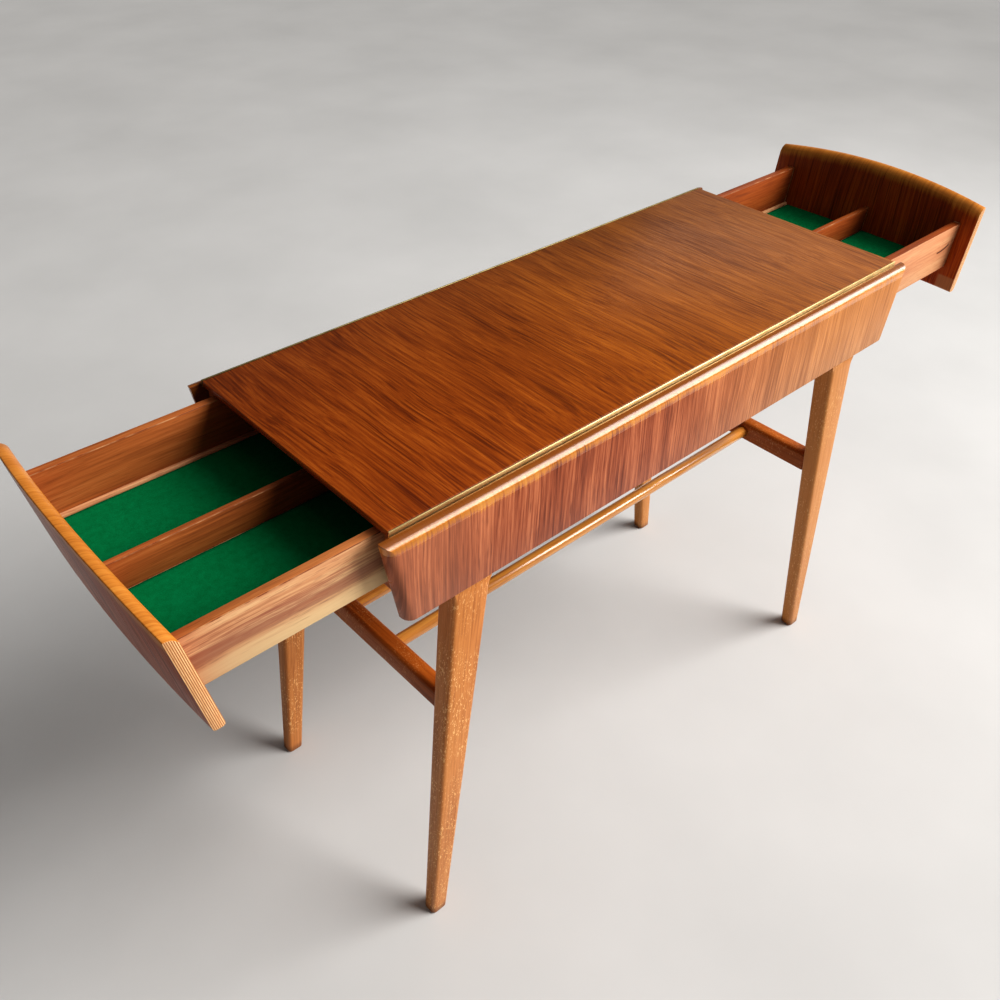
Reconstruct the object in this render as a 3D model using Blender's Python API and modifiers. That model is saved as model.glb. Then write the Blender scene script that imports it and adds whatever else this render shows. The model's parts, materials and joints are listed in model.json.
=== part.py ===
"""Sewing table: a veneered top between two long panels, on four splayed legs, with a felt-lined
drawer that slides out of each end.

+X runs along the table to the right, -Y faces the front and +Z is up. The origin is on the floor
under the middle of the table. Lengths are in metres.
"""

import math

import bmesh
import bpy
from mathutils import Vector

GAP = 0.0003  # left between pieces that touch
SMALL_RADIUS = 0.0015  # sanded edges
OVERSHOOT = 0.010  # how far a cutter reaches past the piece that it cuts

# Top
TOP_Z = 0.600
TOP_THICKNESS = 0.007
TOP_HALF_LENGTH = 0.3835
TOP_HALF_WIDTH = 0.1515
BRASS_PROUD = 0.0004

# Long front and back panels. Their ends slope in towards the floor.
PANEL_INNER = 0.1538
PANEL_OUTER = 0.1665
PANEL_BOTTOM = 0.5006
PANEL_TOP = 0.5960
PANEL_MIDDLE = 0.548
PANEL_HALF_LENGTH = 0.3877  # at PANEL_MIDDLE
END_SLOPE = 0.175  # outward run of the panel ends and drawer fronts for each metre of rise
PANEL_CORNER_RADIUS = 0.010
LIPPING_HEIGHT = 0.0115
LIPPING_RADIUS = 0.0105

# Legs: (inner, outer) limits of the section, measured from the table's middle planes
SHOULDER_Z = PANEL_BOTTOM - GAP
FOOT_X = (0.3476, 0.3686)
FOOT_Y = (0.1460, 0.1645)
SHOULDER_X = (0.2774, 0.3222)
SHOULDER_Y = (0.1368, 0.1620)
LEG_RADIUS = 0.005
SQUARE_RADIUS = 0.0004
ROUNDING_START = 0.018  # below the shoulder, where the rounded edges begin to die out
ROUNDING_END = 0.006  # below the shoulder, where they are gone
TONGUE_TOP = 0.5775
TONGUE_INNER = 0.1375
TONGUE_SHOULDER = 0.001
FOOT_CHAMFER = 0.0015

# Screws that hold the leg tongues to the panels
SCREW_Z = 0.548
SCREW_HEAD_RADIUS = 0.0042
SCREW_SHANK_RADIUS = 0.0020
SCREW_POINT_RADIUS = 0.0006
SCREW_RIM = 0.0004
SCREW_HEAD_DEPTH = 0.0026
SCREW_POINT_LENGTH = 0.003
SCREW_START = TONGUE_INNER + 0.0004
SCREW_TIP = 0.1602

# Stretchers
STRETCHER_X = (0.306, 0.326)
STRETCHER_Z = (0.313, 0.340)
STRETCHER_HALF_LENGTH = 0.1396
STRETCHER_TOP_RADIUS = 0.006
TENON_LENGTH = 0.012
TENON_HALF_WIDTH = 0.005
TENON_HALF_HEIGHT = 0.008
ROD_RADIUS = 0.0077
ROD_Y = 0.0388
ROD_Z = 0.3245
ROD_SOCKET = 0.008

# Drawers: distances along X are from the middle of the table, outwards
LEFT_OPENING = 0.1715
RIGHT_OPENING = 0.1825
FULL_TRAVEL = 0.2595  # from closed to the pull-out stop
CLOSED_CLEARANCE = 0.0005
FRONT_THICKNESS = 0.0115
FRONT_HALF_WIDTH = 0.1574
FRONT_BOTTOM = 0.500
FRONT_TOP = 0.613
FRONT_ARCH = 0.012
FRONT_BOW = 0.006
FRONT_TOP_RADIUS = 0.010  # along the inner top edge
FRONT_FOOT_RADII = (0.004, 0.003)  # inner and outer bottom edges
FRONT_ARRIS = 0.0008  # outer top edge
DRAWER_BACK = 0.045  # outer face of the back of a closed drawer
SIDE_INNER = 0.127
SIDE_OUTER = 0.137
SIDE_BOTTOM = 0.5295
SIDE_TOP = 0.5888
FLOOR_BOTTOM = 0.5317
FLOOR_TOP = 0.5345
GROOVE_DEPTH = 0.004
BACK_THICKNESS = 0.008
BACK_TOP = 0.5880
DIVIDER_HALF_THICKNESS = 0.0035
DIVIDER_TOP = 0.5685
BEAD = 0.004
FELT_THICKNESS = 0.0012

# Frame under the top
RUNNER_INNER = 0.1225
RUNNER_TOP = SIDE_BOTTOM - 0.0004
RUNNER_HEIGHT = 0.0153
RUNNER_END = 0.372
CLEAT_INNER = 0.1377
CLEAT_HEIGHT = 0.0142
CLEAT_END = 0.378
CENTRE_HALF_THICKNESS = 0.008
CROSS_RAIL_HALF_WIDTH = 0.017
CROSS_RAIL_HEIGHT = 0.017
STOP_LENGTH = 0.030
STOP_HALF_WIDTH = 0.020
STOP_BOTTOM = 0.584


def clear_scene():
    for obj in list(bpy.data.objects):
        bpy.data.objects.remove(obj, do_unlink=True)


def collection(name):
    made = bpy.data.collections.new(name)
    bpy.context.scene.collection.children.link(made)
    return made


def material(name, colour, roughness, metallic=0.0):
    made = bpy.data.materials.new(name)
    made.use_nodes = True
    shader = made.node_tree.nodes["Principled BSDF"]
    shader.inputs["Base Color"].default_value = (*colour, 1.0)
    shader.inputs["Roughness"].default_value = roughness
    shader.inputs["Metallic"].default_value = metallic
    made.diffuse_color = (*colour, 1.0)
    return made


def finish_object(name, bm, surface, into):
    """Makes an object of bm, with its origin in its middle and its round faces shaded smooth."""
    corners = [[pick(vert.co[axis] for vert in bm.verts) for axis in range(3)] for pick in (min, max)]
    middle = (Vector(corners[0]) + Vector(corners[1])) / 2
    bmesh.ops.translate(bm, verts=bm.verts, vec=-middle)
    bm.normal_update()
    bmesh.ops.recalc_face_normals(bm, faces=bm.faces)
    mesh = bpy.data.meshes.new(name)
    bm.to_mesh(mesh)
    bm.free()
    mesh.shade_smooth()
    mesh.set_sharp_from_angle(angle=math.radians(30))
    obj = bpy.data.objects.new(name, mesh)
    obj.location = middle
    into.objects.link(obj)
    if surface:
        mesh.materials.append(surface)
    return obj


def cube_mesh(low, high):
    """A box between two corners, given in any order."""
    bm = bmesh.new()
    bmesh.ops.create_cube(bm, size=1.0)
    for vert in bm.verts:
        for axis in range(3):
            centre = (low[axis] + high[axis]) / 2
            vert.co[axis] = centre + vert.co[axis] * abs(high[axis] - low[axis])
    return bm


def round_edges(bm, chosen, radius, segments):
    """Rounds the edges for which chosen(a, b) holds, a and b being the ends of the edge."""
    edges = [edge for edge in bm.edges if chosen(edge.verts[0].co, edge.verts[1].co)]
    bmesh.ops.bevel(bm, geom=edges, offset=radius, segments=segments, profile=0.5, affect="EDGES")


def along(axis, a, b):
    """Whether the edge from a to b runs mostly along the axis, 0 to 2."""
    run = [abs(b[i] - a[i]) for i in range(3)]
    return run[axis] == max(run)


def block(name, low, high, surface, bevel=0.0, segments=2):
    obj = finish_object(name, cube_mesh(low, high), surface, PARTS)
    if bevel:
        rounding = obj.modifiers.new("Rounded edges", "BEVEL")
        rounding.width = bevel
        rounding.segments = segments
    return obj


def cutter(name, bm):
    obj = finish_object(name, bm, None, CUTTERS)
    obj.hide_render = True
    obj.display_type = "WIRE"
    return obj


def combine(obj, other, operation):
    boolean = obj.modifiers.new(operation.title(), "BOOLEAN")
    boolean.operation = operation
    boolean.object = other


def loft(sections):
    """A closed skin through sections of equal length, with a flat cap at each end."""
    bm = bmesh.new()
    rings = [[bm.verts.new(point) for point in section] for section in sections]
    count = len(rings[0])
    for ring, following in zip(rings, rings[1:]):
        for i in range(count):
            j = (i + 1) % count
            bm.faces.new((ring[i], ring[j], following[j], following[i]))
    bm.faces.new(rings[0])
    bm.faces.new(reversed(rings[-1]))
    return bm


def rounded_outline(corners):
    """Points round a rectangle. Each corner is (x, y, radius, segments), in order."""
    centre_x = sum(corner[0] for corner in corners) / 4
    centre_y = sum(corner[1] for corner in corners) / 4
    points = []
    for number, (x, y, radius, segments) in enumerate(corners):
        arc_x = x + math.copysign(radius, centre_x - x)
        arc_y = y + math.copysign(radius, centre_y - y)
        for step in range(segments + 1):
            angle = math.radians(180 + 90 * number + 90 * step / segments)
            points.append((arc_x + radius * math.cos(angle), arc_y + radius * math.sin(angle)))
    return points


def mix(pair, other, share):
    return tuple(a + (b - a) * share for a, b in zip(pair, other))


# Table top


def top_board():
    low = (-TOP_HALF_LENGTH, -TOP_HALF_WIDTH, TOP_Z - TOP_THICKNESS)
    high = (TOP_HALF_LENGTH, TOP_HALF_WIDTH, TOP_Z)
    block("top_board", low, high, WALNUT, bevel=0.0012)


def brass_strip(name, side):
    low = (-TOP_HALF_LENGTH, side * (TOP_HALF_WIDTH + GAP), TOP_Z - TOP_THICKNESS)
    high = (TOP_HALF_LENGTH, side * (PANEL_INNER - GAP), TOP_Z + BRASS_PROUD)
    bm = cube_mesh(low, high)
    round_edges(bm, lambda a, b: along(0, a, b) and a.z > TOP_Z and b.z > TOP_Z, 0.0008, 3)
    finish_object(name, bm, BRASS, PARTS)


# Long panels


def panel_end(z):
    """Half the panel's length at this height."""
    return PANEL_HALF_LENGTH + END_SLOPE * (z - PANEL_MIDDLE)


def panel_slab(side, bottom, top):
    """A length of panel with its outer upright corners rounded."""
    bm = cube_mesh((-1, side * PANEL_INNER, bottom), (1, side * PANEL_OUTER, top))
    for vert in bm.verts:
        vert.co.x = math.copysign(panel_end(vert.co.z), vert.co.x)
    middle = (PANEL_INNER + PANEL_OUTER) / 2

    def outer_upright(a, b):
        return along(2, a, b) and abs(a.y) > middle and abs(b.y) > middle

    round_edges(bm, outer_upright, PANEL_CORNER_RADIUS, 8)
    return bm


def panel(name, side):
    bm = panel_slab(side, PANEL_BOTTOM, PANEL_TOP - LIPPING_HEIGHT)
    limit = PANEL_BOTTOM + 0.001
    round_edges(bm, lambda a, b: a.z < limit and b.z < limit, SMALL_RADIUS, 2)
    obj = finish_object(name, bm, WALNUT, PARTS)
    for end in (-1, 1):
        combine(obj, screw_hole(f"{name}_hole_{end}", end, side), "DIFFERENCE")


def lipping(name, side):
    """The solid strip along the panel's top, with a round outer edge."""
    bottom = PANEL_TOP - LIPPING_HEIGHT + GAP
    obj = finish_object(name, panel_slab(side, bottom, PANEL_TOP), HONEY, PARTS)
    reach = TOP_HALF_LENGTH + 5 * OVERSHOOT
    low = (-reach, side * PANEL_INNER, bottom - OVERSHOOT)
    moulding = cube_mesh(low, (reach, side * PANEL_OUTER, PANEL_TOP))
    middle = (PANEL_INNER + PANEL_OUTER) / 2

    def top_edge(a, b):
        return along(0, a, b) and min(a.z, b.z) > PANEL_TOP - 0.001

    round_edges(moulding, lambda a, b: top_edge(a, b) and abs(a.y) < middle, SMALL_RADIUS, 2)
    round_edges(moulding, lambda a, b: top_edge(a, b) and abs(a.y) > middle, LIPPING_RADIUS, 8)
    combine(obj, cutter(f"{name}_moulding", moulding), "INTERSECT")


# Legs


def leg_limits(z):
    """((inner x, outer x), (inner y, outer y)) of a leg at this height."""
    share = z / SHOULDER_Z
    return mix(FOOT_X, SHOULDER_X, share), mix(FOOT_Y, SHOULDER_Y, share)


def leg_section(end, side, z, radius, inset=0.0):
    (inner_x, outer_x), (inner_y, outer_y) = leg_limits(z)
    inner_x, outer_x = inner_x + inset, outer_x - inset
    inner_y, outer_y = inner_y + inset, outer_y - inset
    corners = ((inner_x, inner_y), (outer_x, inner_y), (outer_x, outer_y), (inner_x, outer_y))
    outline = rounded_outline([(x, y, radius, 4) for x, y in corners])
    return [(end * x, side * y, z) for x, y in outline]


def leg(name, end, side):
    """A tapered leg whose rounded edges die out below the panel, where a tongue rises behind it."""
    sections = [leg_section(end, side, 0.0, LEG_RADIUS - FOOT_CHAMFER, inset=FOOT_CHAMFER)]
    sections.append(leg_section(end, side, FOOT_CHAMFER, LEG_RADIUS))
    for step in range(5):
        share = step / 4
        z = SHOULDER_Z - ROUNDING_START + (ROUNDING_START - ROUNDING_END) * share
        radius = max(LEG_RADIUS * (1 - share**2), SQUARE_RADIUS)
        sections.append(leg_section(end, side, z, radius))
    sections.append(leg_section(end, side, SHOULDER_Z, SQUARE_RADIUS))
    obj = finish_object(name, loft(sections), BEECH, PARTS)

    low = (end * (SHOULDER_X[0] + TONGUE_SHOULDER), side * TONGUE_INNER, SHOULDER_Z - OVERSHOOT)
    high = (end * (SHOULDER_X[1] - TONGUE_SHOULDER), side * (PANEL_INNER - GAP), TONGUE_TOP)
    combine(obj, cutter(f"{name}_tongue", cube_mesh(low, high)), "UNION")

    centre_x = sum(STRETCHER_X) / 2
    centre_z = sum(STRETCHER_Z) / 2
    half_width = TENON_HALF_WIDTH + GAP
    half_height = TENON_HALF_HEIGHT + GAP
    depth = STRETCHER_HALF_LENGTH + TENON_LENGTH + GAP
    low = (end * (centre_x - half_width), side * (SHOULDER_Y[0] - OVERSHOOT), centre_z - half_height)
    high = (end * (centre_x + half_width), side * depth, centre_z + half_height)
    combine(obj, cutter(f"{name}_mortise", cube_mesh(low, high)), "DIFFERENCE")
    combine(obj, screw_hole(f"{name}_hole", end, side), "DIFFERENCE")


def screw_body(end, side, grow, tail):
    """A countersunk screw along Y, larger all round by grow and longer at its head by tail."""
    stations = (
        (SCREW_START - tail, SCREW_HEAD_RADIUS + grow),
        (SCREW_START + SCREW_RIM, SCREW_HEAD_RADIUS + grow),
        (SCREW_START + SCREW_HEAD_DEPTH, SCREW_SHANK_RADIUS + grow),
        (SCREW_TIP - SCREW_POINT_LENGTH, SCREW_SHANK_RADIUS + grow),
        (SCREW_TIP + grow, SCREW_POINT_RADIUS + grow),
    )
    x = end * sum(SHOULDER_X) / 2
    sections = []
    for y, radius in stations:
        ring = [math.tau * step / 16 for step in range(16)]
        section = [(x + radius * math.cos(a), side * y, SCREW_Z + radius * math.sin(a)) for a in ring]
        sections.append(section)
    return loft(sections)


def screw_hole(name, end, side):
    return cutter(name, screw_body(end, side, GAP, 0.002))


def leg_screw(name, end, side):
    finish_object(name, screw_body(end, side, 0.0, 0.0), STEEL, PARTS)


# Stretchers


def side_stretcher(name, end):
    """The rail between the two legs at one end, tenoned into both."""
    low = (end * STRETCHER_X[0], -STRETCHER_HALF_LENGTH, STRETCHER_Z[0])
    high = (end * STRETCHER_X[1], STRETCHER_HALF_LENGTH, STRETCHER_Z[1])
    bm = cube_mesh(low, high)
    middle = sum(STRETCHER_Z) / 2
    round_edges(bm, lambda a, b: along(1, a, b) and a.z > middle, STRETCHER_TOP_RADIUS, 5)
    bottom = STRETCHER_Z[0] + 0.001
    round_edges(bm, lambda a, b: along(1, a, b) and max(a.z, b.z) < bottom, SMALL_RADIUS, 2)
    obj = finish_object(name, bm, BEECH, PARTS)

    centre_x = end * sum(STRETCHER_X) / 2
    reach = STRETCHER_HALF_LENGTH + TENON_LENGTH
    low = (centre_x - TENON_HALF_WIDTH, -reach, middle - TENON_HALF_HEIGHT)
    high = (centre_x + TENON_HALF_WIDTH, reach, middle + TENON_HALF_HEIGHT)
    combine(obj, cutter(f"{name}_tenons", cube_mesh(low, high)), "UNION")
    for side in (-1, 1):
        start = end * (STRETCHER_X[0] - OVERSHOOT)
        stop = end * (STRETCHER_X[0] + ROD_SOCKET)
        socket = rod_mesh(start, stop, side, ROD_RADIUS + GAP)
        combine(obj, cutter(f"{name}_socket_{side}", socket), "DIFFERENCE")


def rod_mesh(start, stop, side, radius):
    bm = bmesh.new()
    bmesh.ops.create_cone(
        bm, cap_ends=True, segments=28, radius1=radius, radius2=radius, depth=abs(stop - start)
    )
    for vert in bm.verts:
        x, y, z = vert.co
        vert.co = ((start + stop) / 2 + z, side * ROD_Y + y, ROD_Z + x)
    return bm


def long_rod(name, side):
    """A round rod along the table, let into both side stretchers."""
    reach = STRETCHER_X[0] + ROD_SOCKET - GAP
    finish_object(name, rod_mesh(-reach, reach, side, ROD_RADIUS), BEECH, PARTS)


# Frame under the top


def cross_rail(name, end):
    centre = end * sum(SHOULDER_X) / 2
    top = RUNNER_TOP - RUNNER_HEIGHT - GAP
    low = (centre - CROSS_RAIL_HALF_WIDTH, -SHOULDER_Y[0] + GAP, top - CROSS_RAIL_HEIGHT)
    high = (centre + CROSS_RAIL_HALF_WIDTH, SHOULDER_Y[0] - GAP, top)
    block(name, low, high, BEECH, bevel=0.001)


def centre_divider():
    reach = PANEL_INNER - GAP
    low = (-CENTRE_HALF_THICKNESS, -reach, PANEL_BOTTOM + 0.0006)
    high = (CENTRE_HALF_THICKNESS, reach, TOP_Z - TOP_THICKNESS - GAP)
    block("centre_divider", low, high, BEECH, bevel=0.001)


def runner(name, end, side):
    """The ledge a drawer side slides on, notched round the leg's tongue."""
    low = (end * (CENTRE_HALF_THICKNESS + GAP), side * RUNNER_INNER, RUNNER_TOP - RUNNER_HEIGHT)
    high = (end * RUNNER_END, side * (PANEL_INNER - GAP), RUNNER_TOP)
    obj = block(name, low, high, BEECH)
    bottom = RUNNER_TOP - RUNNER_HEIGHT - OVERSHOOT
    low = (end * SHOULDER_X[0], side * (TONGUE_INNER - GAP), bottom)
    high = (end * SHOULDER_X[1], side * (PANEL_INNER + OVERSHOOT), RUNNER_TOP + OVERSHOOT)
    combine(obj, cutter(f"{name}_notch", cube_mesh(low, high)), "DIFFERENCE")


def top_cleat(name, end, side):
    """The batten that joins the top to a panel."""
    top = TOP_Z - TOP_THICKNESS - GAP
    low = (end * (CENTRE_HALF_THICKNESS + GAP), side * CLEAT_INNER, top - CLEAT_HEIGHT)
    high = (end * CLEAT_END, side * (PANEL_INNER - GAP), top)
    block(name, low, high, BEECH)


def pull_out_stop(name, end):
    """The block under the top that catches the back of an open drawer."""
    start = DRAWER_BACK + BACK_THICKNESS + FULL_TRAVEL + GAP
    low = (end * start, -STOP_HALF_WIDTH, STOP_BOTTOM)
    high = (end * (start + STOP_LENGTH), STOP_HALF_WIDTH, TOP_Z - TOP_THICKNESS - GAP)
    block(name, low, high, BEECH, bevel=0.001)


# Drawers


def front_inner_x(y, z):
    """The inner face of a closed drawer's front at this place on it."""
    return panel_end(z) + CLOSED_CLEARANCE + FRONT_BOW * crown(y)


def crown(y):
    """1 at the middle of a drawer front and 0 at its ends, along a parabola."""
    return 1 - (y / FRONT_HALF_WIDTH) ** 2


def front_stations(count):
    return [FRONT_HALF_WIDTH * (2 * i / count - 1) for i in range(count + 1)]


def drawer_front(name, end):
    """A leaning board that bows outwards, with an arched top that is round on its inner edge."""
    sections = []
    for y in front_stations(20):
        top = FRONT_TOP + FRONT_ARCH * crown(y)
        corners = (
            (0.0, FRONT_BOTTOM, FRONT_FOOT_RADII[0], 4),
            (FRONT_THICKNESS, FRONT_BOTTOM, FRONT_FOOT_RADII[1], 3),
            (FRONT_THICKNESS, top, FRONT_ARRIS, 1),
            (0.0, top, FRONT_TOP_RADIUS, 8),
        )
        outline = rounded_outline(corners)
        sections.append([(end * (front_inner_x(y, z) + depth), y, z) for depth, z in outline])
    finish_object(name, loft(sections), WALNUT, PARTS)


def front_clearance(name, end):
    """Everything outside the inner face of a drawer front, to trim the pieces that meet it."""
    bottom = FRONT_BOTTOM - OVERSHOOT
    top = FRONT_TOP + FRONT_ARCH + OVERSHOOT
    depth = 10 * OVERSHOOT
    outline = ((-GAP, bottom), (depth, bottom), (depth, top), (-GAP, top))
    sections = []
    for y in front_stations(12):
        sections.append([(end * (front_inner_x(y, z) + offset), y, z) for offset, z in outline])
    return cutter(name, loft(sections))


def drawer_side(name, end, side, beyond, clearance):
    """One long side, grooved for the floor."""
    low = (end * DRAWER_BACK, side * SIDE_INNER, SIDE_BOTTOM)
    board = block(name, low, (end * beyond, side * SIDE_OUTER, SIDE_TOP), MAHOGANY, bevel=0.001)
    combine(board, clearance, "DIFFERENCE")
    low = (end * (DRAWER_BACK - OVERSHOOT), side * (SIDE_INNER - OVERSHOOT), FLOOR_BOTTOM - GAP)
    high = (end * (beyond + OVERSHOOT), side * (SIDE_INNER + GROOVE_DEPTH), FLOOR_TOP + GAP)
    combine(board, cutter(f"{name}_groove", cube_mesh(low, high)), "DIFFERENCE")


def drawer_bead(name, end, side, inside, beyond, clearance):
    """The thin moulding that covers the corner between a side and the felt."""
    bottom = FLOOR_TOP + GAP
    low = (end * inside, side * (SIDE_INNER - GAP - BEAD), bottom)
    high = (end * beyond, side * (SIDE_INNER - GAP), bottom + BEAD)
    bm = cube_mesh(low, high)

    def inner_top(a, b):
        return along(0, a, b) and abs(a.y) < SIDE_INNER - BEAD / 2 and a.z > bottom + BEAD / 2

    round_edges(bm, inner_top, 0.75 * BEAD, 4)
    combine(finish_object(name, bm, BEECH, PARTS), clearance, "DIFFERENCE")


def drawer(name, end, opening):
    """The pieces of one drawer, made in its closed place and moved outwards by the opening."""
    inside = DRAWER_BACK + BACK_THICKNESS + GAP
    beyond = panel_end(PANEL_TOP) + 3 * OVERSHOOT
    above_floor = FLOOR_TOP + GAP
    clearance = front_clearance(f"{name}_front_clearance", end)

    drawer_front(f"{name}_front", end)
    for side, word in ((-1, "front"), (1, "back")):
        drawer_side(f"{name}_{word}_side", end, side, beyond, clearance)
        drawer_bead(f"{name}_{word}_bead", end, side, inside, beyond, clearance)
        low = (end * (inside + GAP), side * (DIVIDER_HALF_THICKNESS + GAP), above_floor)
        felt_edge = side * (SIDE_INNER - BEAD - 2 * GAP)
        high = (end * beyond, felt_edge, above_floor + FELT_THICKNESS)
        combine(block(f"{name}_{word}_felt", low, high, FELT), clearance, "DIFFERENCE")

    reach = SIDE_INNER + GROOVE_DEPTH - GAP
    low = (end * DRAWER_BACK, -reach, FLOOR_BOTTOM)
    floor = block(f"{name}_floor", low, (end * beyond, reach, FLOOR_TOP), MAHOGANY)
    combine(floor, clearance, "DIFFERENCE")

    reach = SIDE_INNER - GAP
    low = (end * DRAWER_BACK, -reach, above_floor)
    high = (end * (DRAWER_BACK + BACK_THICKNESS), reach, BACK_TOP)
    block(f"{name}_back", low, high, MAHOGANY, bevel=0.001)

    low = (end * inside, -DIVIDER_HALF_THICKNESS, above_floor)
    high = (end * beyond, DIVIDER_HALF_THICKNESS, DIVIDER_TOP)
    divider = block(f"{name}_divider", low, high, MAHOGANY, bevel=0.001)
    combine(divider, clearance, "DIFFERENCE")

    slide = bpy.data.objects.new(f"{name}_slide", None)
    slide.location.x = end * opening
    PARTS.objects.link(slide)
    for obj in bpy.data.objects:
        if obj.name.startswith(f"{name}_") and obj != slide:
            obj.parent = slide


clear_scene()
PARTS = collection("sewing_table")
CUTTERS = collection("cutters")
WALNUT = material("walnut veneer", (0.30, 0.105, 0.035), 0.35)
HONEY = material("honey lipping", (0.55, 0.27, 0.07), 0.30)
BEECH = material("stained beech", (0.50, 0.23, 0.07), 0.35)
MAHOGANY = material("drawer wood", (0.42, 0.18, 0.08), 0.50)
FELT = material("green felt", (0.0, 0.13, 0.05), 0.95)
BRASS = material("brass", (0.80, 0.60, 0.25), 0.25, metallic=1.0)
STEEL = material("steel", (0.55, 0.55, 0.55), 0.40, metallic=1.0)

top_board()
for table_side, side_word in ((-1, "front"), (1, "back")):
    brass_strip(f"{side_word}_brass_strip", table_side)
    panel(f"{side_word}_panel", table_side)
    lipping(f"{side_word}_panel_lipping", table_side)
    long_rod(f"{side_word}_long_rod", table_side)
    for table_end, end_word in ((-1, "left"), (1, "right")):
        place = f"{side_word}_{end_word}"
        leg(f"{place}_leg", table_end, table_side)
        leg_screw(f"{place}_leg_screw", table_end, table_side)
        runner(f"{place}_runner", table_end, table_side)
        top_cleat(f"{place}_top_cleat", table_end, table_side)
centre_divider()
for table_end, end_word, drawer_opening in ((-1, "left", LEFT_OPENING), (1, "right", RIGHT_OPENING)):
    side_stretcher(f"{end_word}_side_stretcher", table_end)
    cross_rail(f"{end_word}_cross_rail", table_end)
    pull_out_stop(f"{end_word}_pull_out_stop", table_end)
    drawer(f"{end_word}_drawer", table_end, drawer_opening)
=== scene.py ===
"""The looks of the sewing table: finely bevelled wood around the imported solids, brass, and felt.

Every piece takes its shape and place from its CAD node. Lengths are in metres.
"""

import json
import math

import bmesh
import bpy
from mathutils import Matrix, Vector, noise

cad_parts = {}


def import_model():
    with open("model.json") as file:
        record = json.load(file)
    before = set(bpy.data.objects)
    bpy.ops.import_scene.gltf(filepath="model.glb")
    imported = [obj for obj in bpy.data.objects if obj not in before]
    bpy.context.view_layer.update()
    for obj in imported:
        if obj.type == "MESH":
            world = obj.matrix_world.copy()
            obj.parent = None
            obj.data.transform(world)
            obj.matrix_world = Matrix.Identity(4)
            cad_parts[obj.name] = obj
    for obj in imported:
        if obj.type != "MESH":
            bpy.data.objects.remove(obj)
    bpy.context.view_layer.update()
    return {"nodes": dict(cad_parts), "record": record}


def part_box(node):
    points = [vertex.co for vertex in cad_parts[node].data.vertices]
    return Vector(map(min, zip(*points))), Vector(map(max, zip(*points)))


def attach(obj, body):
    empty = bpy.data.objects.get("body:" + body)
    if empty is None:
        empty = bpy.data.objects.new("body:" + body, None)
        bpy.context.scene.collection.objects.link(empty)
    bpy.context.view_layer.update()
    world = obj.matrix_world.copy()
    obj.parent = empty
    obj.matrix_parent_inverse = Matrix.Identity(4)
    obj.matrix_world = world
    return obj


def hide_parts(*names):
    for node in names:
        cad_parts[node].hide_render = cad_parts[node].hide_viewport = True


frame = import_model()

# Camera
CAMERA_PLACE = (-0.7328, -0.6670, 1.1303)
CAMERA_AZIMUTH = math.radians(42.533)
CAMERA_DOWN = math.radians(38.814)
CAMERA_ROLL = math.radians(0.900)
CAMERA_LENS_MM = 36.03
SENSOR_MM = 36.0

# Light
LIGHT_TARGET = (0.0, 0.0, 0.45)
WARM_WHITE = (1.0, 0.98, 0.95)
COOL_WHITE = (0.97, 0.98, 1.0)

# Drawer fronts, as the CAD makes them
FRONT_LEAN = 0.175  # outward run for each metre of rise
FRONT_THICKNESS = 0.0115
FRONT_ARCH = 0.012
FRONT_BOW = 0.006
FRONT_HEIGHT = 0.125
PLIES = 7

LEG_SPREAD, LEG_RISE = 0.0583, 0.5  # a leg runs outwards this far while it rises this far

# Widths of the bevels on edges
EDGE = 0.0006
SIDE_EDGE = 0.0005
FINE_EDGE = 0.0004
FRONT_EDGE = 0.0003
BEAD_EDGE = 0.0002
SHARP = math.radians(32)  # an edge is bevelled where its faces meet at more than this
FLAT = math.radians(0.2)

WELD = 0.00001
FELT_CELL = 0.004
FELT_LIFT = 0.0004
FELT_CLEARANCE = 0.0004
FELT_HILLS = 30  # to the metre


# Shader building


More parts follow.
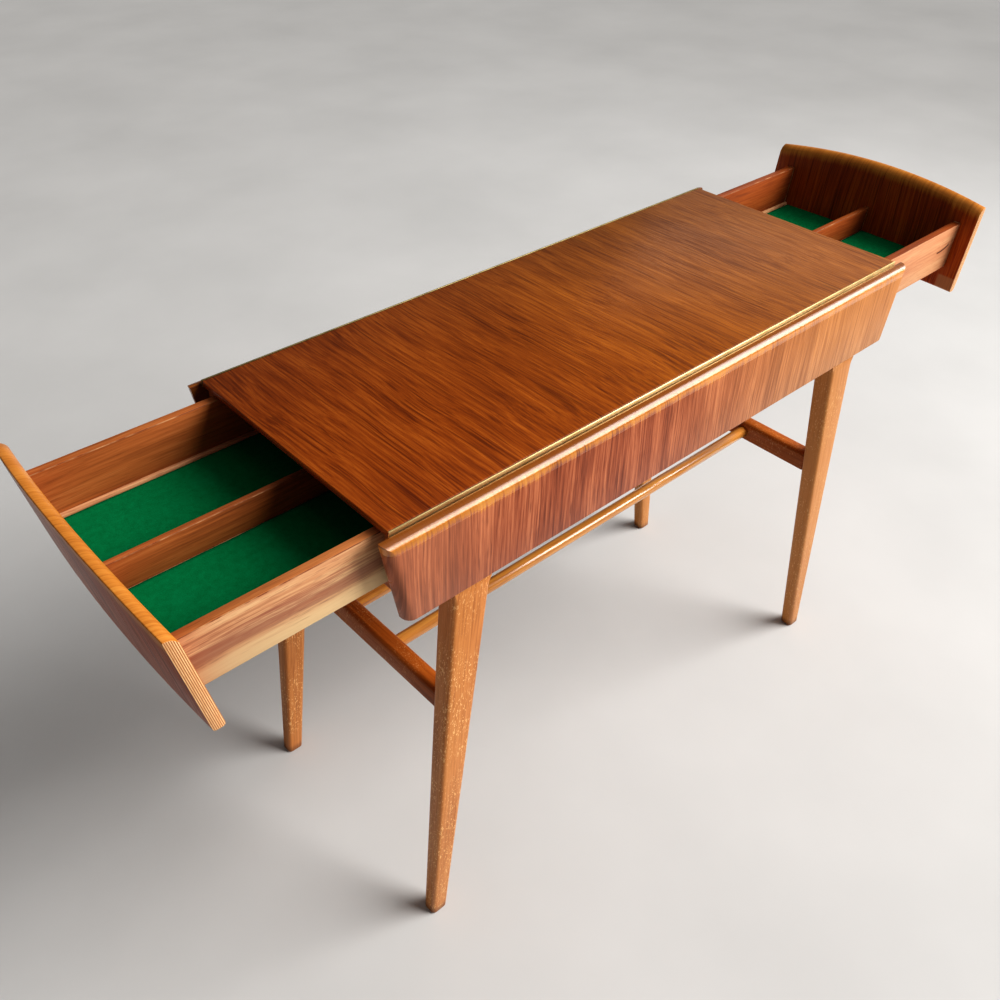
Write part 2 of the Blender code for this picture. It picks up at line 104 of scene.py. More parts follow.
class Shader:
    """A material whose nodes are added one by one and feed its Principled BSDF."""

    def __init__(self, name):
        self.material = bpy.data.materials.new(name)
        self.material.use_nodes = True
        self.tree = self.material.node_tree
        self.surface = self.tree.nodes["Principled BSDF"]

    def feed(self, socket, value):
        """Links a node's output to the socket, or sets the socket to a plain value."""
        if isinstance(value, bpy.types.NodeSocket):
            self.tree.links.new(value, socket)
        else:
            socket.default_value = value

    def add(self, kind, settings=(), inputs=()):
        node = self.tree.nodes.new(kind)
        for key, value in dict(settings).items():
            setattr(node, key, value)
        for key, value in dict(inputs).items():
            self.feed(node.inputs[key], value)
        return node

    def set(self, **values):
        """Sets the surface's own sockets, named with _ for a space."""
        for key, value in values.items():
            self.feed(self.surface.inputs[key.replace("_", " ")], value)

    def math(self, operation, first, second=0.0):
        return self.add("ShaderNodeMath", {"operation": operation}, {0: first, 1: second}).outputs[0]

    def sum(self, *weighted):
        """The sum of (socket, weight) pairs, each socket taken as its distance from a half."""
        total = 0.5
        for socket, weight in weighted:
            part = self.math("MULTIPLY", self.math("SUBTRACT", socket, 0.5), weight)
            total = self.math("ADD", part, total)
        return total

    def place(self):
        return self.add("ShaderNodeTexCoord").outputs["Object"]

    def split(self, vector):
        return self.add("ShaderNodeSeparateXYZ", (), {0: vector}).outputs

    def mapped(self, vector, move=(0, 0, 0), turn=(0, 0, 0), scale=(1, 1, 1)):
        inputs = {"Vector": vector, "Location": move, "Rotation": turn, "Scale": scale}
        return self.add("ShaderNodeMapping", (), inputs).outputs[0]

    def noise(self, vector, scale=1.0, detail=2.0, roughness=0.5, distortion=0.0):
        inputs = {"Vector": vector, "Scale": scale, "Detail": detail}
        inputs.update({"Roughness": roughness, "Distortion": distortion})
        return self.add("ShaderNodeTexNoise", (), inputs).outputs["Fac"]

    def step(self, value, low, high, start=0.0, end=1.0):
        """Value carried smoothly from start, at low, to end, at high. Low may be above high."""
        if low > high:
            low, high, start, end = high, low, end, start
        inputs = {"Value": value, "From Min": low, "From Max": high, "To Min": start, "To Max": end}
        settings = {"interpolation_type": "SMOOTHSTEP"}
        return self.add("ShaderNodeMapRange", settings, inputs).outputs["Result"]

    def mix(self, share, first, second):
        """Two colours mixed. A colour is a socket or three numbers."""
        node = self.add("ShaderNodeMix", {"data_type": "RGBA"})
        self.feed(node.inputs["Factor"], share)
        for number, colour in ((6, first), (7, second)):
            plain = not isinstance(colour, bpy.types.NodeSocket)
            self.feed(node.inputs[number], (*colour, 1.0) if plain else colour)
        return node.outputs[2]

    def ramp(self, value, stops):
        """A colour ramp with stops of (position, colour)."""
        node = self.add("ShaderNodeValToRGB", (), {"Fac": value})
        elements = node.color_ramp.elements
        while len(elements) < len(stops):
            elements.new(0.5)
        for element, (position, colour) in zip(elements, stops):
            element.position = position
            element.color = (*colour, 1.0)
        return node.outputs["Color"]

    def bump(self, height, distance, strength=1.0):
        inputs = {"Height": height, "Distance": distance, "Strength": strength}
        self.set(Normal=self.add("ShaderNodeBump", (), inputs).outputs[0])


# Wood

# The figure of every wood. A stretch is how many times longer than wide the streaks are.
WARP_ALONG, WARP_ACROSS = 3.5, 6.0
TONE_ALONG, TONE_ACROSS = 4, 8
BAND_STRETCH = 15
FIBRE_STRETCH = 36
PORE_SCALE, PORE_STRETCH = 820, 14
BUNDLE_SCALE, BUNDLE_STRETCH = 55, 14

# Each wood: its colours from its dark lines to its pale streaks, and how its figure is drawn.
# Scales are in features for each metre across the grain, and weights are shares of the contrast.
VENEER = {
    "dark": (0.100, 0.014, 0.0012),
    "middle": (0.290, 0.056, 0.0045),
    "pale": (0.480, 0.120, 0.0130),
    "bands": (55, 0.4),
    "fibres": (460, 1.0),
    "tone": 0.35,
    "warp": 0.014,
    "lines": 0.65,
    "line_scale": 430,
    "line_length": 0.13,
    "pits": 0.3,
    "flecks": 0.0,
    "gloss": 0.32,
    "specular": 0.22,
    "coat": 0.0,
}
PANEL_VENEER = {
    **VENEER,
    "dark": (0.140, 0.028, 0.012),
    "middle": (0.340, 0.088, 0.036),
    "pale": (0.560, 0.190, 0.085),
    "bands": (45, 0.6),
    "fibres": (420, 1.2),
    "warp": 0.012,
    "lines": 0.6,
    "line_scale": 430,
    "line_length": 0.04,
    "specular": 0.20,
}
LIPPING_VENEER = {
    **PANEL_VENEER,
    "lines": 0.3,
    "gloss": 0.28,
    "coat": 0.6,
}
HONEY = {
    "dark": (0.260, 0.070, 0.008),
    "middle": (0.560, 0.200, 0.030),
    "pale": (0.760, 0.340, 0.070),
    "bands": (70, 0.6),
    "fibres": (300, 0.9),
    "tone": 0.3,
    "warp": 0.004,
    "lines": 0.35,
    "line_scale": 300,
    "line_length": 0.03,
    "pits": 0.2,
    "flecks": 0.0,
    "gloss": 0.28,
    "specular": 0.4,
    "coat": 0.25,
}
ROD = {
    **HONEY,
    "dark": (0.360, 0.120, 0.014),
    "middle": (0.620, 0.260, 0.048),
    "pale": (0.780, 0.400, 0.095),
    "bands": (70, 0.4),
    "coat": 0.9,
}
BEECH = {
    **HONEY,
    "dark": (0.300, 0.085, 0.014),
    "middle": (0.565, 0.208, 0.051),
    "pale": (0.690, 0.300, 0.085),
    "bands": (70, 0.3),
    "fibres": (420, 0.7),
    "lines": 0.1,
    "line_length": 0.05,
    "flecks": 0.8,
    "gloss": 0.34,
    "specular": 0.22,
    "coat": 0.0,
}
STRETCHER = {
    **BEECH,
    "dark": (0.130, 0.030, 0.003),
    "middle": (0.340, 0.082, 0.010),
    "pale": (0.470, 0.145, 0.025),
    "flecks": 0.25,
}
STAINED = {
    **VENEER,
    "dark": (0.170, 0.044, 0.012),
    "middle": (0.430, 0.128, 0.034),
    "pale": (0.600, 0.225, 0.072),
    "bands": (50, 0.5),
    "fibres": (380, 0.6),
    "tone": 0.8,
    "warp": 0.008,
    "lines": 0.3,
    "line_length": 0.04,
    "gloss": 0.45,
    "specular": 0.2,
}
RED_STAINED = {
    **STAINED,
    "dark": (0.110, 0.020, 0.004),
    "middle": (0.300, 0.066, 0.013),
    "pale": (0.460, 0.140, 0.035),
}
FRONT_VENEER = {
    **VENEER,
    "dark": (0.110, 0.012, 0.0010),
    "middle": (0.350, 0.054, 0.0042),
    "pale": (0.540, 0.125, 0.0120),
}
RAW = {
    **VENEER,
    "dark": (0.320, 0.120, 0.060),
    "middle": (0.630, 0.300, 0.145),
    "pale": (0.800, 0.500, 0.260),
    "bands": (40, 1.0),
    "fibres": (340, 1.0),
    "tone": 0.6,
    "warp": 0.008,
    "lines": 0.3,
    "line_length": 0.02,
    "pits": 0.5,
    "gloss": 0.55,
    "specular": 0.2,
}

FLECK = (0.92, 0.56, 0.24)
GLUE = (0.620, 0.420, 0.250)


def wood(name, kind, grain, seed, tilt=(0, 0, 0), tint=None):
    """Streaks along the grain, bent by a slow warp, with fine dark lines and pores over them.

    Grain is the axis or the two axes that the streaks follow. tint(shader, place, colour, shade)
    may change the colour.
    """
    shader = Shader(name)
    place = shader.place()
    turned = shader.mapped(place, move=seed_offset(seed), turn=tilt)
    across = [0.0 if axis in grain else 1.0 for axis in "XYZ"]

    def stretched(vector, along_scale, across_scale):
        scale = [across_scale if way else along_scale for way in across]
        return shader.mapped(vector, scale=scale)

    slow = shader.noise(stretched(turned, WARP_ALONG, WARP_ACROSS), detail=2.0)
    sideways = shader.math("MULTIPLY", shader.math("SUBTRACT", slow, 0.5), 2 * kind["warp"])
    push = {number: sideways for number, way in enumerate(across) if way}
    push = shader.add("ShaderNodeCombineXYZ", (), push).outputs[0]
    bent = shader.add("ShaderNodeVectorMath", {"operation": "ADD"}, {0: turned, 1: push}).outputs[0]

    def streaks(scale, stretch, detail, roughness=0.55):
        return shader.noise(stretched(bent, scale / stretch, scale), detail=detail, roughness=roughness)

    band_scale, band_weight = kind["bands"]
    fibre_scale, fibre_weight = kind["fibres"]
    band = streaks(band_scale, BAND_STRETCH, 2.0)
    fibre = streaks(fibre_scale, FIBRE_STRETCH, 3.0, 0.65)
    pore = streaks(PORE_SCALE, PORE_STRETCH, 1.0)
    tone = shader.noise(stretched(turned, TONE_ALONG, TONE_ACROSS), detail=1.0)
    shade = shader.sum((band, band_weight), (fibre, fibre_weight), (tone, kind["tone"]))
    colour = shader.ramp(shade, [(0.22, kind["dark"]), (0.50, kind["middle"]), (0.78, kind["pale"])])

    line_scale = kind["line_scale"]
    line = streaks(line_scale, line_scale * kind["line_length"], 1.5)
    bundle = shader.step(streaks(BUNDLE_SCALE, BUNDLE_STRETCH, 1.0), 0.66, 0.44)
    dark_line = shader.math("MULTIPLY", shader.step(line, 0.57, 0.66), bundle)
    dark_line = shader.math("MULTIPLY", dark_line, kind["lines"])
    pit = shader.math("MULTIPLY", shader.step(pore, 0.60, 0.72), kind["pits"])
    colour = shader.mix(shader.math("MAXIMUM", dark_line, pit), colour, kind["dark"])
    if kind["flecks"]:
        colour = shader.mix(flecks(shader, turned, kind["flecks"]), colour, FLECK)
    if tint:
        colour = tint(shader, place, colour, shade)

    shader.set(Base_Color=colour, Coat_Weight=kind["coat"], Coat_Roughness=0.14)
    shader.set(Specular_IOR_Level=kind["specular"])
    shader.set(Roughness=shader.step(fibre, 0.3, 0.7, kind["gloss"] + 0.07, kind["gloss"] - 0.05))
    height = shader.math("SUBTRACT", shader.math("MULTIPLY", fibre, 0.5), pit)
    shader.bump(height, 0.0001, 0.5)
    return shader.material


def flecks(shader, place, amount):
    """Small bent pale rays along the leg, thicker in some places."""
    fine = shader.noise(shader.mapped(place, scale=(620, 620, 260)), detail=1.0, distortion=0.8)
    patch = shader.step(shader.noise(place, scale=16.0, detail=2.0), 0.34, 0.56)
    return shader.math("MULTIPLY", shader.step(fine, 0.60, 0.66), shader.math("MULTIPLY", patch, amount))


def ragged(shader, height, shade, depth):
    """A height that wanders by this depth from streak to streak."""
    return shader.math("ADD", height, shader.math("MULTIPLY", shader.math("SUBTRACT", shade, 0.5), depth))


def honey(shader, shade):
    """The honey colour of worn lacquer, with the veneer's own streaks in it."""
    return shader.ramp(shade, [(0.0, HONEY["dark"]), (0.5, HONEY["middle"]), (1.0, HONEY["pale"])])


def seed_offset(seed):
    """A move far enough that no two pieces show the same figure."""
    return (seed * 1.37, seed * 0.71, seed * 2.13)


def depth_in_front(shader, place, side, y):
    """How far outwards a point is from the inner face of a drawer front, at this y."""
    low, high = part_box(f"{side}_drawer_front")
    bow = FRONT_BOW * (1 - (y / high.y) ** 2)
    foot = max(abs(low.x), abs(high.x)) - FRONT_THICKNESS - FRONT_LEAN * FRONT_HEIGHT - FRONT_BOW + bow
    where = shader.split(place)
    outwards = shader.math("SUBTRACT", shader.math("ABSOLUTE", where["X"]), foot)
    risen = shader.math("MULTIPLY", shader.math("SUBTRACT", where["Z"], low.z), FRONT_LEAN)
    return shader.math("SUBTRACT", outwards, risen)


def glue_line(side, node):
    """A tint that leaves a pale broken line where the board meets the drawer's front."""
    low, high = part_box(node)
    line_from, line_full = -0.0020, -0.0011  # depth in the front, so just short of its inner face

    def line(shader, place, colour, shade):
        depth = depth_in_front(shader, place, side, (low.y + high.y) / 2)
        broken = shader.step(shader.noise(place, scale=160.0, detail=2.0), 0.38, 0.52, 0.25, 0.9)
        near = shader.step(depth, line_from, line_full)
        return shader.mix(shader.math("MULTIPLY", near, broken), colour, GLUE)

    return line


def plywood(name, side):
    """The bare end of a drawer front, with its layers running up the end."""
    shader = Shader(name)
    place = shader.place()
    depth = depth_in_front(shader, place, side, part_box(f"{side}_drawer_front")[1].y)
    layer = shader.math("MULTIPLY", depth, PLIES / FRONT_THICKNESS)
    wave = shader.math("SINE", shader.math("MULTIPLY", layer, math.tau))
    uneven = shader.noise(shader.mapped(place, scale=(500, 500, 40)), detail=3.0, roughness=0.7)
    glue = shader.step(shader.math("ADD", wave, shader.math("MULTIPLY", uneven, 1.6)), 0.45, 1.25)
    colour = shader.ramp(uneven, [(0.3, (0.66, 0.34, 0.14)), (0.7, (0.90, 0.62, 0.32))])
    colour = shader.mix(glue, colour, (0.40, 0.13, 0.04))
    shader.set(Base_Color=colour, Roughness=0.5, Specular_IOR_Level=0.3)
    shader.bump(shader.math("SUBTRACT", uneven, glue), 0.00015, 0.5)
    return shader.material


# Metal and felt


def metal(name, colour, dull, roughness, scratch_scale):
    """Drawn metal with fine scratches, duller in patches."""
    shader = Shader(name)
    place = shader.place()
    drawn = shader.noise(shader.mapped(place, scale=scratch_scale), detail=3.0, roughness=0.7)
    patch = shader.noise(place, scale=45.0, detail=2.0)
    shader.set(Base_Color=shader.mix(shader.step(patch, 0.45, 0.75), colour, dull))
    shader.set(Metallic=1.0, Roughness=shader.step(drawn, 0.3, 0.7, roughness, roughness + 0.15))
    shader.bump(drawn, 0.00003, 0.3)
    return shader.material


def felt(name, seed):
    """Matted fibres with thin places, and a soft sheen."""
    shader = Shader(name)
    place = shader.mapped(shader.place(), move=seed_offset(seed))
    fibres = shader.noise(place, scale=1300.0, detail=4.0, roughness=0.75, distortion=1.5)
    clumps = shader.noise(place, scale=150.0, detail=3.0, roughness=0.6)
    worn = shader.noise(place, scale=18.0, detail=3.0)
    shade = shader.sum((fibres, 0.9), (clumps, 0.35))
    colour = shader.ramp(shade, [(0.3, (0.0005, 0.110, 0.030)), (0.7, (0.002, 0.240, 0.080))])
    pale = shader.math("MULTIPLY", shader.step(worn, 0.50, 0.72), 0.12)
    colour = shader.mix(pale, colour, (0.004, 0.300, 0.120))
    shader.set(Base_Color=colour, Roughness=0.95, Specular_IOR_Level=0.03)
    shader.set(Sheen_Weight=0.06, Sheen_Roughness=0.5, Sheen_Tint=(0.0, 0.85, 0.45, 1.0))
    shader.bump(shade, 0.0006, 0.9)
    return shader.material


# Pieces

BODY_OF = {
    node: body for body, nodes in frame["record"]["behaviour"]["bodies"].items() for node in nodes
}


def stand_for(obj, node):
    """Makes obj the shown surface of a CAD node."""
    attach(obj, BODY_OF[node])
    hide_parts(node)
    return obj


def linked(name, data):
    obj = bpy.data.objects.new(name, data)
    bpy.context.scene.collection.objects.link(obj)
    return obj


def surface_of(node, materials, pick=None, edge=EDGE, worn=False):
    """A welded, smooth copy of a CAD node with bevelled edges.

    pick(centre, normal) is the number of a face's material. Where worn, the bevels take the last
    material, a pale edge that is partly wear and partly painted highlight.
    """
    bm = bmesh.new()
    bm.from_mesh(frame["nodes"][node].data)
    bmesh.ops.remove_doubles(bm, verts=bm.verts, dist=WELD)
    bmesh.ops.dissolve_limit(bm, angle_limit=FLAT, verts=bm.verts, edges=bm.edges)
    for face in bm.faces:
        face.material_index = pick(face.calc_center_median(), face.normal) if pick else 0
        face.smooth = True
    mesh = bpy.data.meshes.new(f"{node}_surface")
    bm.to_mesh(mesh)
    bm.free()
    for material in materials:
        mesh.materials.append(material)
    obj = linked(f"{node}_surface", mesh)
    if edge:
        bevel = obj.modifiers.new("Softened edges", "BEVEL")
        bevel.width = edge
        bevel.segments = 2
        bevel.limit_method = "ANGLE"
        bevel.angle_limit = SHARP
        bevel.harden_normals = True
        if worn:
            bevel.material = len(materials) - 1
    else:
        mesh.set_sharp_from_angle(angle=SHARP)
    return stand_for(obj, node)


def seed_of(node):
    """A number of its own for each node, from its letters."""
    return sum((place + 1) * ord(letter) for place, letter in enumerate(node)) % 97 / 7.0


def simple_wood(node, kind, grain, edge=EDGE, tilt=(0, 0, 0), tint=None):
    material = wood(f"{node}_wood", kind, grain, seed_of(node), tilt, tint)
    return surface_of(node, [material], edge=edge)


def rubbed_and_highlit_edge(name):
    """Wood pale along an edge, more in some places than in others: partly rubbed wear, partly a painted
    highlight on the arris.
    """
    shader = Shader(name)
    rub_and_highlight = shader.noise(shader.place(), scale=60.0, detail=4.0)
    colour = shader.ramp(rub_and_highlight, [(0.45, (0.20, 0.055, 0.015)), (0.70, (0.50, 0.26, 0.12))])
    shader.set(Base_Color=colour, Roughness=shader.step(rub_and_highlight, 0.3, 0.7, 0.5, 0.65))
    shader.set(Specular_IOR_Level=0.15)
    return shader.material


def top_board():
    """Reddest at its left end, and browner towards the right."""
    red_end, brown_from = -0.38, 0.30

    def browner_to_right(shader, place, colour, shade):
        # Browner towards the right end of the board.
        brown = shader.ramp(shade, [(0.25, (0.110, 0.028, 0.0015)), (0.75, (0.360, 0.130, 0.0120))])
        share = shader.step(shader.split(place)["X"], red_end, brown_from, 0.0, 0.75)
        return shader.mix(share, colour, brown)

    surface_of("top_board", [wood("top_board_veneer", VENEER, "Y", 3.0, tint=browner_to_right)], edge=FINE_EDGE)


def panel(side):
    """The panel and the rounded strip along its top, under one veneer that turns honey-coloured."""
    seed = seed_of(f"{side}_panel")
    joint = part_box(f"{side}_panel")[1].z
    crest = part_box(f"{side}_panel_lipping")[1].z
    inner = min(abs(corner.y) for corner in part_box(f"{side}_panel"))
    tan_light_from, tan_light_full = -0.10, 0.30
    pale_from, pale_full = -0.25, -0.36
    honey_from, honey_full = joint - 0.002, joint + 0.005
    crest_shade_from, crest_shade_full = crest - 0.0040, crest - 0.0015

    def fade(shader, place, colour, shade):
        """Tan towards the right, partly the veneer's colour and partly painted light; paler at the left end;
        painted shade along the crest; dark on the inside.
        """
        where = shader.split(place)
        # Lighter tan towards the right: partly the veneer's own colour, partly painted light from the key's
        # side.
        tan_and_light = shader.ramp(shade, [(0.2, (0.36, 0.130, 0.030)), (0.8, (0.66, 0.300, 0.090))])
        colour = shader.mix(shader.step(where["X"], tan_light_from, tan_light_full, 0.0, 0.75), colour, tan_and_light)
        pale = shader.mix(0.5, colour, (0.700, 0.330, 0.190))
        colour = shader.mix(shader.step(where["X"], pale_from, pale_full, 0.0, 0.4), colour, pale)
        height = ragged(shader, where["Z"], shade, 0.012)
        colour = shader.mix(shader.step(height, honey_from, honey_full), colour, honey(shader, shade))
        # Painted shade: the crest faces up and away from the key light, so it is darkened.
        painted_crest_shade = shader.step(where["Z"], crest_shade_from, crest_shade_full, 0.0, 0.9)
        colour = shader.mix(painted_crest_shade, colour, (0.200, 0.055, 0.006))
        across = shader.math("ABSOLUTE", where["Y"])
        inwards = shader.step(across, inner + 0.0008, inner + 0.0002, 0.0, 0.85)
        return shader.mix(inwards, colour, (0.070, 0.016, 0.004))

    veneer = wood(f"{side}_panel_veneer", PANEL_VENEER, "YZ", seed, tint=fade)
    surface_of(f"{side}_panel", [veneer], edge=FINE_EDGE)
    veneer = wood(f"{side}_lipping_veneer", LIPPING_VENEER, "YZ", seed, tint=fade)
    surface_of(f"{side}_panel_lipping", [veneer], edge=0.0)


def leg(node):
    """Grain runs down the leg, which leans outwards. The right legs are more golden, and every foot is darker
    near the floor.
    """
    low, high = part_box(node)
    outwards = 1 if low.x + high.x > 0 else -1
    dark_foot_top, dark_foot_full = 0.015, 0.002

    def darker_foot(shader, place, colour, shade):
        if outwards > 0:
            colour = shader.mix(0.45, colour, (0.500, 0.215, 0.055))
        # Darker towards the foot, up to a ragged line about 15 mm above the floor.
        height = ragged(shader, shader.split(place)["Z"], shade, 0.010)
        return shader.mix(shader.step(height, dark_foot_top, dark_foot_full, 0.0, 0.7), colour, (0.160, 0.050, 0.018))

    tilt = (0, outwards * math.atan2(LEG_SPREAD, LEG_RISE), 0)
    simple_wood(node, BEECH, "Z", edge=SIDE_EDGE, tilt=tilt, tint=darker_foot)


def inner_wood(side, node):
    """The stained wood of a drawer's sides and divider: redder, with glue lines, in the right one."""
    red = side == "right"
    tint = glue_line(side, node) if red else None
    return wood(f"{node}_stained", RED_STAINED if red else STAINED, "X", seed_of(node), tint=tint)


def drawer_side(side, node):
    """Bare wood outside, stained wood on the inner face and the top edge, pale arrises that are partly rubbed
    wear and partly painted highlight.
    """
    low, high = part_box(node)
    middle = (low.z + high.z) / 2
    outer = 1 if low.y + high.y > 0 else -1
    crack_middle = high.x - 0.042
    crack_curve = 9.0
    crack_shift, crack_reach = 0.010, 0.016
    crack_width = 0.0017

    def heartwood(shader, place, colour, shade):
        """A dark streak along the middle, and a pale band under it."""
        height = ragged(shader, shader.split(place)["Z"], shade, 0.03)
        rise = shader.step(height, middle - 0.008, middle)
        fall = shader.step(height, middle + 0.018, middle + 0.006)
        heart = shader.math("MULTIPLY", shader.math("MULTIPLY", rise, fall), 0.7)
        colour = shader.mix(heart, colour, (0.330, 0.110, 0.065))
        pale = shader.step(height, middle - 0.004, middle - 0.016, 0.0, 0.75)
        return shader.mix(pale, colour, (0.940, 0.680, 0.370))

    def rosy(shader, place, colour, shade):
        """Pinker wood, with a short curved crack close to the drawer's front."""
        where = shader.split(place)
        colour = shader.mix(0.6, colour, (0.440, 0.170, 0.080))
        along = shader.math("SUBTRACT", where["X"], crack_middle)
        curve = shader.math("MULTIPLY", shader.math("POWER", along, 2.0), crack_curve)
        off = shader.math("SUBTRACT", where["Z"], shader.math("ADD", curve, middle))
        crack = shader.step(shader.math("ABSOLUTE", off), crack_width, crack_width - 0.001)
        away = shader.math("ABSOLUTE", shader.math("SUBTRACT", along, crack_shift))
        reach = shader.step(away, crack_reach, crack_reach - 0.003)
        return shader.mix(shader.math("MULTIPLY", crack, reach), colour, (0.060, 0.012, 0.004))

    tint = rosy if side == "right" else heartwood
    bare = wood(f"{node}_bare", RAW, "X", seed_of(node), tint=tint)

    def pick(centre, normal):
        return int(normal.y * outer > 0.5 or normal.z < -0.5)

    materials = [inner_wood(side, node), bare, rubbed_and_highlit_edge(f"{node}_edge")]
    # worn: the bevels take the pale edge, partly wear and partly painted highlight.
    surface_of(node, materials, pick, edge=SIDE_EDGE, worn=True)


def drawer_front(side):
    """Veneered faces that turn honey-coloured at the round top edge, and bare layered ends."""
    node = f"{side}_drawer_front"
    low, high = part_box(node)
    honey_from, honey_full = high.z - 0.016, high.z - 0.006
    patch_height, patch_width = 0.020, 0.026

    def fade(shader, place, colour, shade):
        where = shader.split(place)
        dip = shader.math("MULTIPLY", shader.math("POWER", where["Y"], 2.0), FRONT_ARCH / high.y**2)
        height = ragged(shader, shader.math("ADD", where["Z"], dip), shade, 0.010)
        return shader.mix(shader.step(height, honey_from, honey_full), colour, honey(shader, shade))

    def bare_corner(shader, place, colour, shade):
        """The same, with a bare patch at the foot of the front end."""
        where = shader.split(place)
        top, side_edge = low.z + patch_height, low.y + patch_width
        foot = shader.step(where["Z"], top, top - 0.003, 0.0, 0.7)
        end = shader.step(where["Y"], side_edge, side_edge - 0.004)
        colour = fade(shader, place, colour, shade)
        return shader.mix(shader.math("MULTIPLY", foot, end), colour, (0.460, 0.220, 0.100))

    def pick(centre, normal):
        if abs(normal.y) > 0.9:
            return 2
        return int(normal.x * centre.x < 0)

    inner_tint = bare_corner if side == "right" else fade
    outer = wood(f"{node}_veneer", FRONT_VENEER, "XZ", seed_of(node), tint=fade)
    inner = wood(f"{node}_inner_veneer", FRONT_VENEER, "XZ", seed_of(node), tint=inner_tint)
    surface_of(node, [outer, inner, plywood(f"{node}_end", side)], pick, edge=FRONT_EDGE)


def felt_sheet(node):
    """A sheet a little smaller than its CAD solid, with soft hills."""
    low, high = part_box(node)
    clear = Vector((FELT_CLEARANCE, FELT_CLEARANCE, 0))
    low, high = low + clear, high - clear
    width, length = high.y - low.y, high.x - low.x
    columns, rows = round(length / FELT_CELL), round(width / FELT_CELL)
    bm = bmesh.new()
    bmesh.ops.create_grid(bm, x_segments=columns, y_segments=rows, size=0.5)
    for vert in bm.verts:
        vert.co.x = (low.x + high.x) / 2 + vert.co.x * length
        vert.co.y = (low.y + high.y) / 2 + vert.co.y * width
        swell = noise.noise(Vector((vert.co.x * FELT_HILLS, vert.co.y * FELT_HILLS, 3.7)))
        vert.co.z = high.z - FELT_LIFT + FELT_LIFT * 0.8 * swell
    for face in bm.faces:
        face.smooth = True
    mesh = bpy.data.meshes.new(f"{node}_sheet")
    bm.to_mesh(mesh)
    bm.free()
    mesh.materials.append(felt(f"{node}_felt", seed_of(node)))
    obj = linked(f"{node}_sheet", mesh)
    thickness = obj.modifiers.new("Thickness", "SOLIDIFY")
    thickness.thickness = high.z - low.z - 2 * FELT_LIFT
    thickness.offset = -1.0
    return stand_for(obj, node)


# Stage


def camera():
    """The camera that was fitted to the photograph."""
    forward = Vector(
        (
            math.sin(CAMERA_AZIMUTH) * math.cos(CAMERA_DOWN),
            math.cos(CAMERA_AZIMUTH) * math.cos(CAMERA_DOWN),
            -math.sin(CAMERA_DOWN),
        )
    )
    right = forward.cross(Vector((0, 0, 1))).normalized()
    up = right.cross(forward)
    roll = Matrix.Rotation(-CAMERA_ROLL, 3, forward)
    right, up = roll @ right, roll @ up
    data = bpy.data.cameras.new("camera")
    data.lens = CAMERA_LENS_MM
    data.sensor_width = SENSOR_MM
    obj = linked("camera", data)
    obj.matrix_world = Matrix((right, up, -forward)).transposed().to_4x4()
    obj.location = CAMERA_PLACE
    bpy.context.scene.camera = obj


def way_to(azimuth, height):
    """The direction at an azimuth from +Y towards +X and a height, in degrees."""
    turn, rise = math.radians(azimuth), math.radians(height)
    return Vector((math.sin(turn) * math.cos(rise), math.cos(turn) * math.cos(rise), math.sin(rise)))


def soft_light(name, azimuth, height, distance, size, watts, colour):
    """A rectangle that faces the table from this distance."""
    data = bpy.data.lights.new(name, "AREA")
    data.shape = "RECTANGLE"
    data.size, data.size_y = size
    data.energy = watts
    data.color = colour
    way = way_to(azimuth, height)
    obj = linked(name, data)
    obj.location = Vector(LIGHT_TARGET) + way * distance
    obj.rotation_euler = (-way).to_track_quat("-Z", "Y").to_euler()


def daylight(azimuth, height, spread, strength):
    """Sunlight softened by a sky this many degrees wide."""
    data = bpy.data.lights.new("daylight", "SUN")
    data.angle = math.radians(spread)
    data.energy = strength
    data.color = WARM_WHITE
    sun = linked("daylight", data)
    sun.rotation_euler = (-way_to(azimuth, height)).to_track_quat("-Z", "Y").to_euler()


def floor():
    bm = bmesh.new()
    bmesh.ops.create_grid(bm, x_segments=8, y_segments=8, size=15.0)
    mesh = bpy.data.meshes.new("floor")
    bm.to_mesh(mesh)
    bm.free()
    shader = Shader("pale_floor")
    cloud = shader.noise(shader.place(), scale=2.5, detail=5.0)
    shader.set(Base_Color=shader.ramp(cloud, [(0.3, (0.59, 0.587, 0.583)), (0.7, (0.65, 0.646, 0.642))]))
    shader.set(Roughness=0.7, Specular_IOR_Level=0.2)
    mesh.materials.append(shader.material)
    obj = linked("floor", mesh)
    obj.location.z = -0.0005


def world():
    made = bpy.data.worlds.new("studio")
    made.use_nodes = True
    background = made.node_tree.nodes["Background"]
    background.inputs["Color"].default_value = (1.0, 0.98, 0.96, 1.0)
    background.inputs["Strength"].default_value = 0.10
    bpy.context.scene.world = made


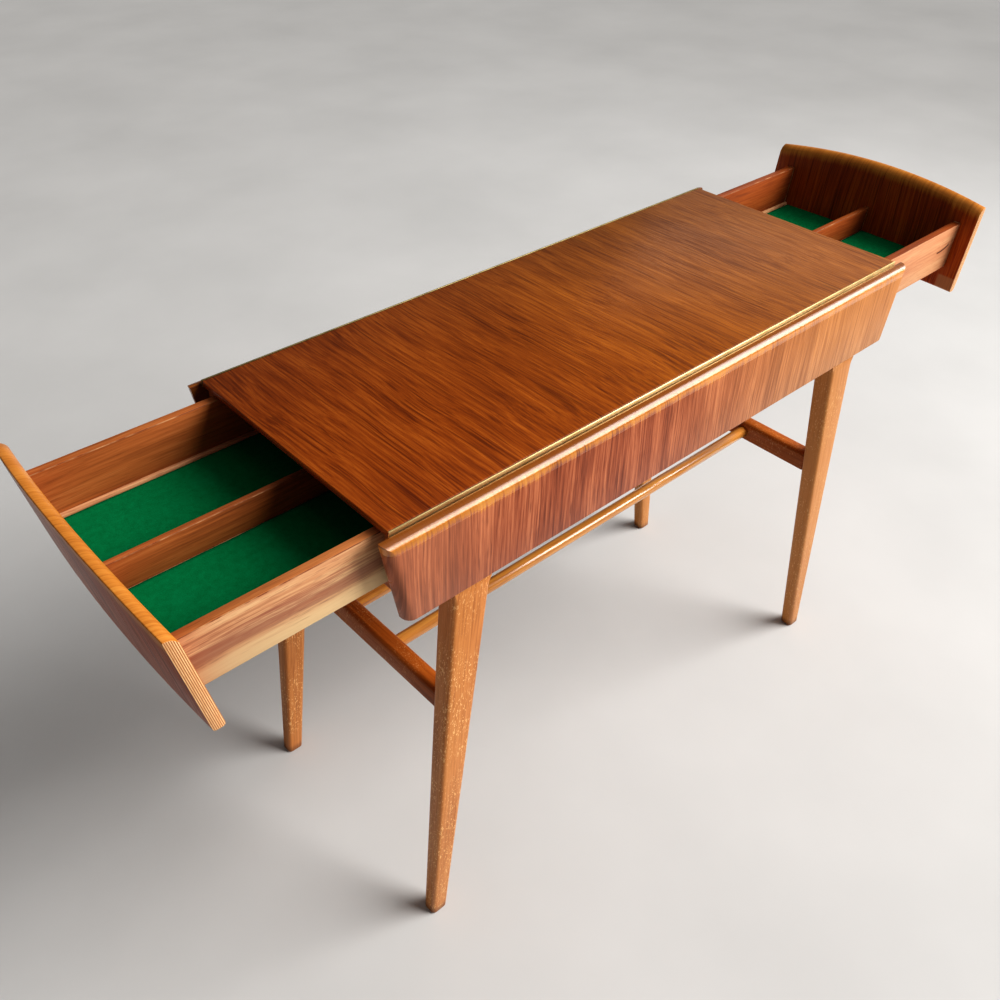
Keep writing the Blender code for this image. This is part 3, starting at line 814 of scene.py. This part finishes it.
camera()
floor()
world()
soft_light("key", azimuth=132, height=33, distance=2.6, size=(2.2, 1.5), watts=48, colour=WARM_WHITE)
soft_light("side", azimuth=76, height=20, distance=2.6, size=(2.4, 1.2), watts=3.5, colour=COOL_WHITE)
soft_light("overhead", azimuth=180, height=86, distance=2.4, size=(1.6, 1.2), watts=3, colour=COOL_WHITE)
daylight(azimuth=131, height=34, spread=42, strength=2.95)
bpy.context.scene.view_settings.view_transform = "Standard"
bpy.context.scene.view_settings.look = "Medium High Contrast"

top_board()
simple_wood("centre_divider", RAW, "Y")
along_x = (30, 900, 900)
brass = {
    "front": metal("front_brass", (0.86, 0.66, 0.32), (0.70, 0.52, 0.22), 0.38, along_x),
    # The back strip is darker brass than the front one: painted shade standing in for the dark room its flat
    # top reflects.
    "back": metal("back_brass", (0.26, 0.20, 0.09), (0.16, 0.12, 0.05), 0.45, along_x),
}
steel = metal("steel", (0.55, 0.55, 0.56), (0.30, 0.28, 0.26), 0.35, (400, 400, 400))
for side in ("front", "back"):
    surface_of(f"{side}_brass_strip", [brass[side]])
    panel(side)
    simple_wood(f"{side}_long_rod", ROD, "X", edge=FINE_EDGE)
    for end in ("left", "right"):
        leg(f"{side}_{end}_leg")
        surface_of(f"{side}_{end}_leg_screw", [steel], edge=0.0)
        simple_wood(f"{side}_{end}_runner", STAINED, "X")
        simple_wood(f"{side}_{end}_top_cleat", STAINED, "X")
for end in ("left", "right"):
    simple_wood(f"{end}_side_stretcher", STRETCHER, "Y")
    simple_wood(f"{end}_cross_rail", RAW, "Y")
    simple_wood(f"{end}_pull_out_stop", RAW, "Y")
    drawer_front(end)
    simple_wood(f"{end}_drawer_floor", RAW, "Y", edge=0.0)
    simple_wood(f"{end}_drawer_back", STAINED, "Y")
    divider = f"{end}_drawer_divider"
    woods = [inner_wood(end, divider), rubbed_and_highlit_edge(f"{divider}_edge")]
    # worn: the bevels take the pale edge, partly wear and partly painted highlight.
    surface_of(divider, woods, edge=SIDE_EDGE, worn=True)
    for side in ("front", "back"):
        drawer_side(end, f"{end}_drawer_{side}_side")
        simple_wood(f"{end}_drawer_{side}_bead", RAW, "X", edge=BEAD_EDGE)
        felt_sheet(f"{end}_drawer_{side}_felt")
